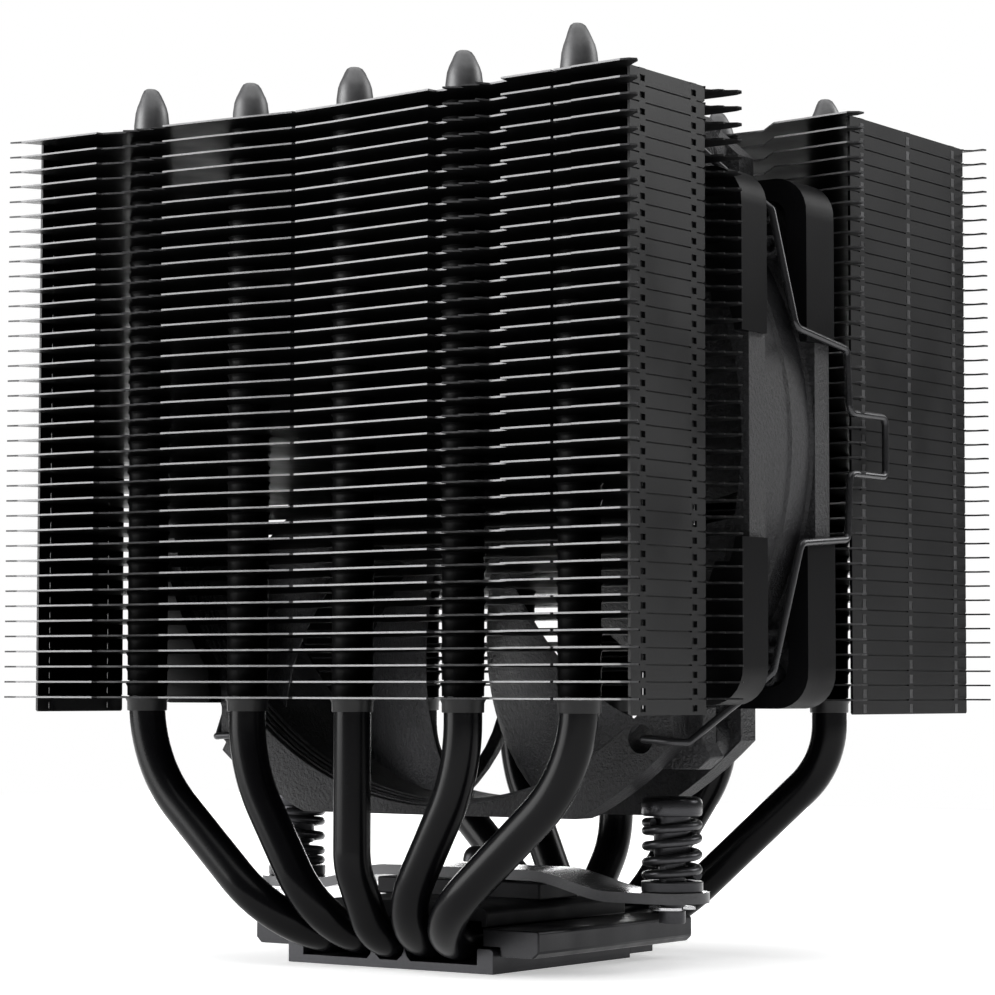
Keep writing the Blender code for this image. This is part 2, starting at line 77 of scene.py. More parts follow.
def surface(name, colour, rough, metal=0.0, spread=0.25, fine=900.0, coarse=60.0, bump=0.08, rough_spread=0.08,
            tint=None, coat=0.0, stretch=(1, 1, 1), ior=1.5, depth=0.0001, spec=0.5):
    """A coating or moulded surface: colour and roughness wander at two scales, and a fine grain gives the bump."""
    mat = bpy.data.materials.new(name)
    mat.use_nodes = True
    tree = mat.node_tree
    nodes, links = tree.nodes, tree.links
    bsdf = nodes["Principled BSDF"]
    bsdf.inputs["Metallic"].default_value = metal
    bsdf.inputs["IOR"].default_value = ior
    bsdf.inputs["Specular IOR Level"].default_value = spec
    bsdf.inputs["Coat Weight"].default_value = coat
    bsdf.inputs["Coat Roughness"].default_value = 0.2
    coords = nodes.new("ShaderNodeTexCoord")
    mapping = nodes.new("ShaderNodeMapping")
    mapping.inputs["Scale"].default_value = stretch
    links.new(coords.outputs["Object"], mapping.inputs["Vector"])
    small = nodes.new("ShaderNodeTexNoise")
    small.inputs["Scale"].default_value = fine
    small.inputs["Detail"].default_value = 4.0
    small.inputs["Roughness"].default_value = 0.65
    large = nodes.new("ShaderNodeTexNoise")
    large.inputs["Scale"].default_value = coarse
    large.inputs["Detail"].default_value = 3.0
    links.new(mapping.outputs["Vector"], small.inputs["Vector"])
    links.new(mapping.outputs["Vector"], large.inputs["Vector"])
    mix = nodes.new("ShaderNodeMath")
    mix.operation = "MULTIPLY_ADD"
    mix.inputs[1].default_value = 0.6
    links.new(small.outputs["Fac"], mix.inputs[0])
    half = nodes.new("ShaderNodeMath")
    half.operation = "MULTIPLY"
    half.inputs[1].default_value = 0.4
    links.new(large.outputs["Fac"], half.inputs[0])
    links.new(half.outputs[0], mix.inputs[2])
    ramp = nodes.new("ShaderNodeValToRGB")
    other = tint or colour
    ramp.color_ramp.elements[0].position = 0.3
    ramp.color_ramp.elements[1].position = 0.7
    ramp.color_ramp.elements[0].color = tuple(max(0.0, c * (1 - spread)) for c in colour) + (1.0,)
    ramp.color_ramp.elements[1].color = tuple(min(1.0, c * (1 + spread)) for c in other) + (1.0,)
    links.new(mix.outputs[0], ramp.inputs["Fac"])
    links.new(ramp.outputs["Color"], bsdf.inputs["Base Color"])
    scale = nodes.new("ShaderNodeMapRange")
    scale.inputs["From Min"].default_value = 0.3
    scale.inputs["From Max"].default_value = 0.7
    scale.inputs["To Min"].default_value = max(0.02, rough - rough_spread)
    scale.inputs["To Max"].default_value = min(1.0, rough + rough_spread)
    links.new(large.outputs["Fac"], scale.inputs["Value"])
    links.new(scale.outputs["Result"], bsdf.inputs["Roughness"])
    relief = nodes.new("ShaderNodeBump")
    relief.inputs["Strength"].default_value = bump
    relief.inputs["Distance"].default_value = depth
    links.new(small.outputs["Fac"], relief.inputs["Height"])
    links.new(relief.outputs["Normal"], bsdf.inputs["Normal"])
    return mat


M_FIN = surface("fin_satin_black", (0.0032, 0.0032, 0.0036), 0.42, fine=2500, coarse=90, bump=0.10, spec=0.26)
# painted highlight: a lighter copy of the black fin coating for the fins' front edges
M_EDGE_HIGHLIGHT = surface("fin_edge_painted_highlight", (0.052, 0.052, 0.054), 0.28, 0.35, fine=1800, coarse=120, bump=0.15, spread=0.5, spec=0.85)
M_WALL = surface("fin_folded_side", (0.0036, 0.0036, 0.0040), 0.42, fine=2600, coarse=70, bump=0.14, spec=0.29)
# painted shade: a duller copy of the folded-side coating that makes the far stack's sides darker
M_WALL_REAR_SHADE = surface("rear_fin_side_painted_shade", (0.0035, 0.0035, 0.004), 0.46, fine=2600, coarse=70, bump=0.14, spec=0.20)
# painted glint: a lighter metal for the far stack's hooks, standing in for light in its side windows
M_HOOK_GLINT = surface("fin_hook_painted_glint", (0.065, 0.065, 0.067), 0.38, 0.6, fine=2200, coarse=200, bump=0.2, spread=0.5)
M_PIPE = surface("pipe_black_plate", (0.0016, 0.0016, 0.0020), 0.24, 0.0, fine=2200, coarse=50, bump=0.06, rough_spread=0.04, spec=0.11)
M_TIP = surface("pipe_swaged_end", (0.050, 0.050, 0.053), 0.46, 0.1, fine=1500, coarse=160, bump=0.18, rough_spread=0.06, spec=1.0)
M_NICKEL = surface("plate_black_nickel", (0.028, 0.028, 0.031), 0.34, 0.6, fine=1500, coarse=40, bump=0.05, stretch=(1, 6, 1))
# painted reflection: the black bar's flat faces are given a light grey metal so they look bright
M_BAR_REFLECTION = surface("bar_painted_reflection", (0.50, 0.50, 0.51), 0.25, 0.9, fine=1400, coarse=45, bump=0.02, stretch=(5, 1, 1), rough_spread=0.03)
M_BAR_EDGE = surface("bar_sheared_edge", (0.055, 0.055, 0.058), 0.36, 0.3, fine=1400, coarse=90, bump=0.1, stretch=(1, 1, 4))
M_WING = surface("wing_black_nickel", (0.016, 0.016, 0.018), 0.34, 0.6, fine=1500, coarse=40, bump=0.05, stretch=(1, 6, 1))
M_CLAMP = surface("clamp_black_nickel", (0.010, 0.010, 0.011), 0.46, 0.3, fine=1500, coarse=40, bump=0.05, stretch=(1, 6, 1), spec=0.12)
M_SCREW = surface("screw_black_nickel", (0.040, 0.040, 0.043), 0.30, 0.8, fine=1600, coarse=60, bump=0.05, stretch=(1, 1, 8))
M_SPRING = surface("spring_black_wire", (0.045, 0.045, 0.048), 0.30, 0.8, fine=1800, coarse=80, bump=0.06)
M_FRAME = surface("frame_moulded_black", (0.012, 0.012, 0.0135), 0.45, fine=1500, coarse=70, bump=1.0, spread=0.9, spec=0.42, depth=0.0005)
M_BLADE = surface("blade_glass_filled", (0.026, 0.026, 0.029), 0.40, fine=1200, coarse=120, bump=1.0, spread=0.95, stretch=(1, 2, 1), depth=0.0005, spec=0.6)
M_PAD = surface("pad_black_silicone", (0.0022, 0.0022, 0.0026), 0.44, fine=2000, coarse=60, bump=0.15, spec=0.07)
M_WIRE = surface("clip_black_wire", (0.030, 0.030, 0.032), 0.28, 0.6, fine=1500, coarse=90, bump=0.04)
M_STEEL = surface("bright_turned_steel", (0.52, 0.52, 0.53), 0.24, 1.0, fine=1500, coarse=60, bump=0.05, stretch=(1, 1, 8), depth=0.0001)
M_BRASS = surface("sintered_brass", (0.62, 0.46, 0.22), 0.42, 1.0, fine=2600, coarse=90, bump=0.2, depth=0.0001)
M_COPPER = surface("enamelled_copper", (0.62, 0.26, 0.12), 0.33, 0.9, fine=1200, coarse=90, bump=0.3, stretch=(1, 12, 1), depth=0.0001)
M_MAGNET = surface("moulded_ferrite", (0.10, 0.10, 0.10), 0.75, 0.0, fine=1500, coarse=90, bump=0.2, depth=0.0001)
M_BOARD = surface("solder_mask", (0.03, 0.13, 0.06), 0.45, 0.0, fine=800, coarse=90, bump=0.1, depth=0.0001)


# ------------------------------------------------------------------ mesh helpers

def piece(name, verts, faces, mats, body, slot, replaces=(), smooth=None, index=None, bevel=0.0, segments=2, origin=None, recalc=True):
    """A piece from points in mm. smooth is the angle in degrees under which edges are shaded round."""
    mesh = bpy.data.meshes.new(name)
    mesh.from_pydata([tuple(c * MM for c in v) for v in verts], [], faces)
    mesh.update()
    mats = mats if isinstance(mats, (list, tuple)) else [mats]
    for m in mats:
        mesh.materials.append(m)
    if index is not None:
        mesh.polygons.foreach_set("material_index", np.asarray(index, np.int32))
    if recalc:
        bm = bmesh.new()
        bm.from_mesh(mesh)
        bmesh.ops.remove_doubles(bm, verts=bm.verts, dist=1e-7)
        bmesh.ops.recalc_face_normals(bm, faces=bm.faces)
        bm.to_mesh(mesh)
        bm.free()
    if smooth is not None:
        mesh.shade_smooth()
        mesh.set_sharp_from_angle(angle=math.radians(smooth))
    obj = bpy.data.objects.new(name, mesh)
    bpy.context.scene.collection.objects.link(obj)
    if bevel:
        mod = obj.modifiers.new("edges", "BEVEL")
        mod.width = bevel * MM
        mod.segments = segments
        mod.limit_method = "ANGLE"
        mod.angle_limit = math.radians(32)
        mod.harden_normals = False
        mesh.shade_smooth()
        mesh.set_sharp_from_angle(angle=math.radians(38))
    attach(obj, body)
    if replaces:
        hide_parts(*replaces)
    return obj


def join(*groups):
    """Several (verts, faces) as one."""
    verts, faces = [], []
    for v, f in groups:
        base = len(verts)
        verts.extend(v)
        faces.extend([tuple(i + base for i in face) for face in f])
    return verts, faces


def prism(outer, holes, low, high):
    """A flat outline with holes as a closed solid in x, y and z from low to high."""
    loops = [list(outer)] + [list(h) for h in holes]
    flat = [p for loop in loops for p in loop]
    tris = tessellate_polygon([[Vector((x, y, 0)) for x, y in loop] for loop in loops])
    n = len(flat)
    verts = [(x, y, low) for x, y in flat] + [(x, y, high) for x, y in flat]
    faces = []
    for a, b, c in tris:
        (ax, ay), (bx, by), (cx, cy) = flat[a], flat[b], flat[c]
        if (bx - ax) * (cy - ay) - (by - ay) * (cx - ax) < 0:
            a, c = c, a
        faces.append((a + n, b + n, c + n))
        faces.append((c, b, a))
    start = 0
    for k, loop in enumerate(loops):
        m = len(loop)
        area = sum(loop[i][0] * loop[(i + 1) % m][1] - loop[(i + 1) % m][0] * loop[i][1] for i in range(m))
        outward = (area > 0) == (k == 0)
        for i in range(m):
            a, b = start + i, start + (i + 1) % m
            faces.append((a, b, b + n, a + n) if outward else (b, a, a + n, b + n))
        start += m
    return verts, faces


def side_count(outer, holes):
    """How many of prism()'s faces come before its side faces."""
    loops = [list(outer)] + [list(h) for h in holes]
    return 2 * len(tessellate_polygon([[Vector((x, y, 0)) for x, y in loop] for loop in loops]))


def to_y(verts, at=(0, 0, 0)):
    """Outline x, y and height as x, z and -y, so an outline stands upright."""
    return [(x + at[0], -z + at[1], y + at[2]) for x, y, z in verts]


def circle(r, n, x=0.0, y=0.0, turn=0.0):
    return [(x + r * math.cos(turn + 2 * math.pi * k / n), y + r * math.sin(turn + 2 * math.pi * k / n)) for k in range(n)]


def lathe(profile, steps, at=(0, 0, 0), axis="Z", closed=False):
    """A turned solid from (radius, height) pairs; open profiles start and end on the axis."""
    verts, rows = [], []
    for r, z in profile:
        if r < 1e-6:
            rows.append([len(verts)] * steps)
            verts.append((0.0, 0.0, z))
        else:
            rows.append(list(range(len(verts), len(verts) + steps)))
            verts.extend((r * math.cos(2 * math.pi * k / steps), r * math.sin(2 * math.pi * k / steps), z) for k in range(steps))
    faces = []
    pairs = list(zip(rows, rows[1:])) + ([(rows[-1], rows[0])] if closed else [])
    for a, b in pairs:
        for k in range(steps):
            q = (a[k], b[k], b[(k + 1) % steps], a[(k + 1) % steps])
            q = tuple(dict.fromkeys(q))
            if len(q) > 2:
                faces.append(q)
    if axis == "Y":
        verts = [(x, z, -y) for x, y, z in verts]
    return [(x + at[0], y + at[1], z + at[2]) for x, y, z in verts], faces


def sweep(points, radius, sides, cap=True):
    """A round bar along the points; radius is a number or one for each point."""
    pts = [Vector(p) for p in points]
    n = len(pts)
    radii = [radius] * n if isinstance(radius, (int, float)) else list(radius)
    tangents = []
    for i in range(n):
        a, b = pts[max(0, i - 1)], pts[min(n - 1, i + 1)]
        tangents.append((b - a).normalized())
    ref = Vector((0, 0, 1)) if abs(tangents[0].z) < 0.9 else Vector((1, 0, 0))
    normal = (ref - tangents[0] * ref.dot(tangents[0])).normalized()
    verts, faces = [], []
    for i in range(n):
        normal = (normal - tangents[i] * normal.dot(tangents[i])).normalized()
        binormal = tangents[i].cross(normal)
        for k in range(sides):
            a = 2 * math.pi * k / sides
            verts.append(tuple(pts[i] + (normal * math.cos(a) + binormal * math.sin(a)) * radii[i]))
    for i in range(n - 1):
        for k in range(sides):
            a, b = i * sides + k, i * sides + (k + 1) % sides
            faces.append((a, b, b + sides, a + sides))
    if cap:
        faces.append(tuple(range(sides))[::-1])
        faces.append(tuple(range((n - 1) * sides, n * sides)))
    return verts, faces


def rounded(points, radii, steps=6):
    """The points with each inner corner turned into an arc of its radius."""
    pts = [Vector(p) for p in points]
    path = [pts[0]]
    for k in range(1, len(pts) - 1):
        before, corner, after = pts[k - 1], pts[k], pts[k + 1]
        u, v = (before - corner).normalized(), (after - corner).normalized()
        angle = u.angle(v)
        if math.pi - angle < 0.02:
            path.append(corner)
            continue
        r = radii[k - 1] if not isinstance(radii, (int, float)) else radii
        reach = r / math.tan(angle / 2)
        limit = 0.48 * min((before - corner).length, (after - corner).length) if isinstance(radii, (int, float)) else reach
        if reach > limit:
            reach = limit
            r = reach * math.tan(angle / 2)
        centre = corner + (u + v).normalized() * (r / math.sin(angle / 2))
        start, end, turn = corner + u * reach - centre, corner + v * reach - centre, math.pi - angle
        for s in range(steps + 1):
            t = s / steps
            path.append(centre + (start * math.sin((1 - t) * turn) + end * math.sin(t * turn)) / math.sin(turn))
    path.append(pts[-1])
    return path


def box(low, high):
    (a, b, c), (d, e, f) = low, high
    verts = [(a, b, c), (d, b, c), (d, e, c), (a, e, c), (a, b, f), (d, b, f), (d, e, f), (a, e, f)]
    return verts, [(0, 3, 2, 1), (4, 5, 6, 7), (0, 1, 5, 4), (1, 2, 6, 5), (2, 3, 7, 6), (3, 0, 4, 7)]


# ------------------------------------------------------------------ camera, floor, light

CAM_F = 3137.207 / 995 * 36
az, pitch, roll = 0.6183865, 0.0609061, 0.0014409
fwd = Vector((-math.sin(az) * math.cos(pitch), math.cos(az) * math.cos(pitch), math.sin(pitch)))
right = Vector((math.cos(az), math.sin(az), 0))
up = right.cross(fwd)
right2 = right * math.cos(roll) + up * math.sin(roll)
up2 = -right * math.sin(roll) + up * math.cos(roll)
cam_data = bpy.data.cameras.new("camera")
cam_data.lens = CAM_F
cam_data.sensor_width = 36
cam_data.clip_start = 0.01
cam = bpy.data.objects.new("camera", cam_data)
bpy.context.scene.collection.objects.link(cam)
cam.matrix_world = Matrix((
    (right2.x, up2.x, -fwd.x, 0.307903), (right2.y, up2.y, -fwd.y, -0.425935), (right2.z, up2.z, -fwd.z, 0.044708), (0, 0, 0, 1)))
bpy.context.scene.camera = cam
bpy.context.scene.view_settings.view_transform = "Standard"
bpy.context.scene.view_settings.look = "None"

world = bpy.data.worlds.new("studio") if bpy.context.scene.world is None else bpy.context.scene.world
bpy.context.scene.world = world
world.use_nodes = True
tree = world.node_tree
background = tree.nodes["Background"]
background.inputs["Color"].default_value = (1.0, 1.0, 1.0, 1)
seen = tree.nodes.new("ShaderNodeLightPath")
level = tree.nodes.new("ShaderNodeMapRange")
level.inputs["To Min"].default_value = 0.14
level.inputs["To Max"].default_value = 1.0
tree.links.new(seen.outputs["Is Camera Ray"], level.inputs["Value"])
tree.links.new(level.outputs["Result"], background.inputs["Strength"])

floor_mesh = bpy.data.meshes.new("floor")
floor_mesh.from_pydata([(-0.62, -0.62, 0), (0.62, -0.62, 0), (0.62, 0.62, 0), (-0.62, 0.62, 0)], [], [(0, 1, 2, 3)])
floor = bpy.data.objects.new("floor", floor_mesh)
floor.location = (0, 0, -0.00005)
bpy.context.scene.collection.objects.link(floor)
floor_mat = bpy.data.materials.new("floor_pale")
floor_mat.use_nodes = True
fb = floor_mat.node_tree.nodes["Principled BSDF"]
fb.inputs["Base Color"].default_value = (0.92, 0.92, 0.92, 1)
fb.inputs["Roughness"].default_value = 0.8
fb.inputs["Emission Color"].default_value = (1, 1, 1, 1)
fb.inputs["Emission Strength"].default_value = 0.45
floor_mesh.materials.append(floor_mat)


def softbox(name, place, target, size, power, colour=(1, 1, 1)):
    data = bpy.data.lights.new(name, "AREA")
    data.shape = "RECTANGLE"
    data.size, data.size_y = size
    data.energy = power
    data.color = colour
    obj = bpy.data.objects.new(name, data)
    obj.location = place
    obj.rotation_euler = (Vector(target) - Vector(place)).to_track_quat("-Z", "Y").to_euler()
    obj.visible_camera = False
    bpy.context.scene.collection.objects.link(obj)
    return obj


softbox("left_box", (-0.62, -0.62, 0.26), (0, 0, 0.09), (0.62, 0.70), 11.0)
softbox("back_right_box", (0.46, 0.58, 0.50), (0.05, -0.03, 0.12), (0.45, 0.35), 3.2)
softbox("back_strip", (-0.55, 0.85, 0.10), (0, 0, 0.04), (0.9, 0.16), 2.0)
softbox("top_box", (0.0, 0.0, 1.6), (0, 0, 0.0), (2.4, 2.4), 36.0)


# ------------------------------------------------------------------ fin stacks

PIPE_X = (-43.4, -21.7, 0.0, 21.7, 43.4)
TEETH_EDGE = [
    # left to right along the outer edge: x, and how far it stands back from the tips
    (-60.4, 0.45), (-52.4, 0.75), (-44.0, 1.15), (-43.7, 2.1), (-39.3, 3.4), (-39.1, 2.2), (-36.7, 3.7), (-36.5, 2.5), (-33.6, 3.8),
    (-33.4, 2.5), (-31.0, 3.9), (-30.8, 2.6), (-22, 3.25), (-13, 4.1), (-5.6, 4.95), (-5.2, 5.6), (-4.8, 4.95), (3, 4.45), (13, 3.4), (23.4, 2.3),
    (23.6, 4.0), (26.0, 3.8), (26.2, 2.2), (29.2, 3.7), (29.4, 2.1), (32.4, 3.5), (32.6, 1.9), (33.8, 3.9), (36.3, 3.6), (37.6, 3.3),
    (37.8, 1.25), (47.2, 0.75), (47.25, 1.75), (47.75, 1.75), (47.8, 0.7), (51.0, 0.55), (51.3, 0.2), (60.2, -0.3),
]


def front_outline():
    """The narrow stack's fin, as a ring of points, with its toothed front edge and the ears behind its folded sides."""
    pts = [(-62.5, -46.95)] + [(x, -46.9 + d) for x, d in TEETH_EDGE]
    pts += [(61.6, -46.9), (62.4, -46.0), (61.9, -45.0), (60.4, -43.9), (59.3, -43.0), (58.7, -42.7), (58.7, -22.3), (59.3, -22.0)]
    ear = [(58.3, -20.6), (58.1, -19.9), (58.5, -19.2), (59.6, -18.9), (60.2, -18.3), (60.1, -17.6), (60.8, -17.1), (61.7, -16.6), (61.9, -15.7), (61.4, -14.8), (60.2, -14.2), (58.6, -14.05), (57.6, -14.0)]
    pts += ear
    pts += [(40, -14.0), (20, -14.0), (0, -14.0), (-20, -14.0), (-40, -14.0)]
    pts += [(-x, y) for x, y in ear[::-1]]
    pts += [(-59.3, -22.0), (-58.7, -22.3), (-58.7, -42.7), (-59.2, -43.4), (-60.4, -45.9)]
    return pts


def rear_outline():
    """The deep stack's fin: set back in the middle of its front edge, toothed along its rear."""
    front = [(40.4, 27.3), (42.6, 25.0), (45.6, 21.9), (50.8, 21.4), (57.0, 20.5), (60.3, 20.2), (62.0, 21.2), (62.3, 22.4), (60.6, 23.2), (59.3, 23.1), (58.7, 23.4)]
    back = [(58.7, 63.4), (59.3, 63.7), (59.0, 64.4), (60.3, 65.4), (62.2, 65.2), (62.5, 66.1)]
    rear = [(-x, 66.1 - max(0.0, d)) for x, d in TEETH_EDGE]
    pts = [(0, 27.4), (20, 27.4)] + front + back + rear
    pts += [(-x, y) for x, y in back[::-1]] + [(-x, y) for x, y in front[::-1]] + [(-20, 27.4)]
    return pts


def fins(name, outline, highlight_limit, row_y, z_low, pitch, count, replaces):
    """All fins of one stack: plates with pipe holes, their front-facing cut edges in a slot of their own, painted
    lighter as a highlight.
    """
    holes = [circle(3.3, 20, x, row_y) for x in PIPE_X]
    v, f = prism(outline, holes, 0.0, 0.28)
    n = side_count(outline, holes)
    v = np.array(v)
    # front-facing edges take the lighter edge material: painted highlight
    m = [1 if n <= k < n + len(outline) and outline[k - n][1] < highlight_limit else 0 for k in range(len(f))]
    verts, faces, index = [], [], []
    for i in range(count):
        base = len(verts)
        verts.extend(map(tuple, v + np.array([0, 0, z_low + i * pitch])))
        faces.extend([tuple(a + base for a in face) for face in f])
        index.extend(m)
    return piece(name, verts, faces, [M_FIN, M_EDGE_HIGHLIGHT], "root", "black_fin", replaces, index=index, recalc=False)


fins("front_fins", front_outline(), -40.0, -32.8, 43.1, 2.515, 38, ["fin_stack_front"])
fins("rear_fins", rear_outline(), 30.0, 43.4, 42.81, 2.456, 40, ["fin_stack_rear"])


def walls(name, y0, y1, columns, z_low, pitch, count, mat, hook):
    """The folded side of each fin: a tab that hangs to the fin below, hooked to it where its square windows are."""
    top, low = 0.03, -0.9 * pitch
    outline = [(y0, low + 0.25), (y0 + 0.35, low), (y1 - 0.35, low), (y1, low + 0.25), (y1, top)]
    for c in sorted(columns, reverse=True):
        outline += [(c + 0.85, top), (c + 0.85, top + 0.22), (c - 0.85, top + 0.22), (c - 0.85, top)]
    outline += [(y0, top)]
    windows = [[(c - 0.68, -1.75), (c + 0.68, -1.75), (c + 0.68, -0.8), (c - 0.68, -0.8)] for c in columns]
    v, f = prism(outline, windows, 58.72, 59.16)
    right = [(z, x, y) for x, y, z in v]
    lip_v, lip_f = box((58.0, y0 + 0.2, -0.02), (58.9, y1 - 0.2, 0.30))
    hooks = join(*[box((58.3, c - 0.62, -2.0), (hook, c + 0.50, -0.55)) for c in columns])
    verts, faces, index = [], [], []
    for i in range(count):
        z = z_low + i * pitch
        for sign in (1, -1):
            for vv, ff in ((right, f), (lip_v, lip_f), hooks):
                base = len(verts)
                verts.extend((sign * a, b, c + z) for a, b, c in vv)
                faces.extend([tuple(k + base for k in (face if sign > 0 else face[::-1])) for face in ff])
                index.extend([1 if vv is hooks[0] else 0] * len(ff))
    # only hooks that stand past 59 mm, the far stack's, get the lighter material, a painted glint; the others stay fin
    # black
    return piece(name, verts, faces, [mat, M_HOOK_GLINT if hook > 59 else M_FIN], "root", "black_fin", index=index, recalc=False)


walls("front_fin_sides", -42.91, -22.07, (-39.55, -25.23), 43.1, 2.515, 38, M_WALL, 58.75)
# the far stack's sides use the duller copy, painted shade
walls("rear_fin_sides", 23.28, 63.57, (27.34, 43.32, 59.67), 42.81, 2.456, 40, M_WALL_REAR_SHADE, 59.2)


def collars(name, row_y, z_low, pitch, count):
    """A drawn collar round each pipe under each fin."""
    verts, faces = [], []
    for i in range(count):
        z = z_low + i * pitch
        for x in PIPE_X:
            v, f = lathe([(3.62, -0.02), (3.5, -0.25), (3.32, -0.6), (3.30, -2.0), (3.22, -2.08), (3.08, -2.0), (3.06, 0.0)], 18, (x, row_y, z), closed=True)
            base = len(verts)
            verts.extend(v)
            faces.extend([tuple(k + base for k in face) for face in f])
    return piece(name, verts, faces, M_FIN, "root", "black_fin", smooth=50, recalc=False)


collars("front_collars", -32.8, 43.1, 2.515, 38)
collars("rear_collars", 43.4, 42.81, 2.456, 40)


# ------------------------------------------------------------------ heat pipes

FRONT_BENDS = {2: (-33.28, 32.35, 23.4, 14.0), 1: (-31.54, 31.93, 29.2, 13.0), 0: (-26.43, 16.73, 9.7, 7.6)}
REAR_BENDS = {2: (39.35, 32.32, 14.8, 10.7), 1: (38.08, 31.42, 20.0, 10.3), 0: (32.96, 18.0, 14.0, 10.0)}
TIP = [(0.0, 0.3), (0.06, 0.85), (0.35, 1.3), (1.05, 1.68), (2.0, 2.05), (2.95, 2.45), (4.0, 2.75), (6.0, 2.98), (8.2, 3.0)]


def pipe_half(k, row_y, top, bends):
    turn_y, height, r1, r2 = bends[abs(k - 2)]
    xt, xb = PIPE_X[k], (k - 2) * 6.4
    tip = [Vector((xt, row_y, top - d)) for d, _ in TIP]
    body = rounded([(xt, row_y, top - 12), (xt, row_y, height), (xb, turn_y, 4.6), (xb, 0, 4.6)], (r1, r2), 12)
    return tip + body, [r for _, r in TIP] + [3.0] * len(body)


for k in range(5):
    a, ra = pipe_half(k, -32.8, 145.2, FRONT_BENDS)
    b, rb = pipe_half(k, 43.4, 146.2, REAR_BENDS)
    v, f = sweep(a[:-1] + b[-2::-1], ra[:-1] + rb[-2::-1], 32)
    # the swaged ends are pinched flat on one side and slightly oval
    out = []
    for x, y, z in v:
        top, row = (145.2, -32.8) if y < 5 else (146.2, 43.4)
        if y < 5 and z > 138.5:
            # the near row's ends stand at slightly different heights
            z += (0.35, -1.05, -0.9, -0.7, 0.98)[k] * (z - 138.5) / 6.7
        if z > top - 1.9:
            s = (z - (top - 1.9)) / 1.9
            dx, dy = x - PIPE_X[k], y - row
            x, y = PIPE_X[k] + dx * (1 - 0.10 * s) - 0.18 * s, row + dy * (1 + 0.05 * s)
        out.append((x, y, z))
    tops = [1 if max(out[i][2] for i in face) > 138.0 else 0 for face in f]
    piece("pipe_%d" % (k + 1), out, f, [M_PIPE, M_TIP], "root", "black_pipe", ["heatpipe_%d" % (k + 1)], smooth=45, index=tops)


# ------------------------------------------------------------------ base, clamp and bars

def grooved_base():
    def arc(cx, r, a0, a1, n):
        return [(cx + r * math.cos(math.radians(a0 + (a1 - a0) * i / n)), 4.6 + r * math.sin(math.radians(a0 + (a1 - a0) * i / n))) for i in range(n + 1)]
    half = [(20.6, 0.0), (20.6, 3.5), (20.2, 3.9), (17.7, 3.9), (17.5, 3.6), (17.5, 1.35)]
    half += [(4.4, 1.35), (3.75, 2.0), (3.35, 2.9), (3.25, 4.0), (3.15, 4.0), (3.05, 2.9), (2.6, 2.1), (1.7, 1.35)]
    return half + [(-x, z) for x, z in half[::-1]]


v, f = prism(grooved_base(), [], -16.2, 23.2)
v = to_y(v)
v2, f2 = prism([(x, max(z, 0.65)) for x, z in grooved_base()], [], -23.2, -16.25)
v2 = to_y(v2)
piece("base_plate_body", *join((v, f)), M_NICKEL, "root", "nickel_plate", ["base_plate"], bevel=0.18)
piece("base_plate_step", v2, f2, M_NICKEL, "root", "nickel_plate", bevel=0.18)

half = [(17.2, 7.0), (17.2, 9.3), (16.7, 9.9), (15.4, 10.35), (12.0, 10.6)]
outline = half + [(-x, z) for x, z in half[::-1]] + [(-16.0, 7.0), (-16.0, 7.9), (16.0, 7.9), (16.0, 7.0)]
v, f = prism(outline, [], -20.0, 20.0)
piece("clamp_body", to_y(v), f, M_CLAMP, "root", "nickel_plate", ["base_clamp"], bevel=0.25)

# raised seat in the middle of the clamp, under the bar's arch
v, f = box((-16.6, -4.6, 10.4), (16.6, 6.6, 13.2))
piece("clamp_seat", v, f, M_CLAMP, "root", "nickel_plate", bevel=0.3)

for side, sign in (("left", -1), ("right", 1)):
    outline = [(17.7, 4.2), (20.95, 4.2), (20.95, 2.7), (27.5, 2.7), (28.5, 3.6), (28.5, 6.7), (28.1, 7.0), (17.7, 7.0)]
    v, f = prism([(sign * x, z) for x, z in outline], [], -23.0, 22.0)
    piece("wing_bar_body_" + side, to_y(v), f, M_WING, "root", "nickel_plate", ["wing_bar_" + side], bevel=0.3)


def smooth01(t):
    t = min(1.0, max(0.0, t))
    return t * t * (3 - 2 * t)


def crossbar():
    """An arched strip with rounded ends and three holes, built as a bent plan."""
    end = [(38.5 + 6 * math.cos(math.radians(a)), 1.0 + 6 * math.sin(math.radians(a))) for a in range(-90, 91, 10)]
    low = [(x, -5.0) for x in np.linspace(-37.5, 37.5, 61)]
    high = [(x, 7.0) for x in np.linspace(37.5, -37.5, 61)]
    plan = low + end + high + [(-x, y) for x, y in end[::-1]]
    plan = [(float(x), float(y)) for x, y in plan]
    holes = [circle(2.6, 32, -38.5, 1.0), circle(1.9, 24, 0, 1.0), circle(2.6, 32, 38.5, 1.0)]
    v, f = prism(plan, holes, 0.0, 1.7)
    n = side_count(plan, holes)
    bm = bmesh.new()
    made = [bm.verts.new(p) for p in v]
    for k, face in enumerate(f):
        # the flat faces take the light grey bar material, a painted reflection; the sides take the edge material
        bm.faces.new([made[i] for i in face]).material_index = 0 if k < n else 1
    # rows of edges across the strip, so that its faces follow the bend
    for k in range(-22, 23):
        bmesh.ops.bisect_plane(bm, geom=bm.verts[:] + bm.edges[:] + bm.faces[:], dist=1e-4, plane_co=(k * 1.4 + 0.013, 0, 0), plane_no=(1, 0, 0))
    bm.verts.index_update()
    bent = [(p.co.x, p.co.y, 10.7 + p.co.z + 2.9 * smooth01((30.5 - abs(p.co.x)) / 16.0)) for p in bm.verts]
    faces = [tuple(p.index for p in face.verts) for face in bm.faces]
    index = [face.material_index for face in bm.faces]
    bm.free()
    return bent, faces, index


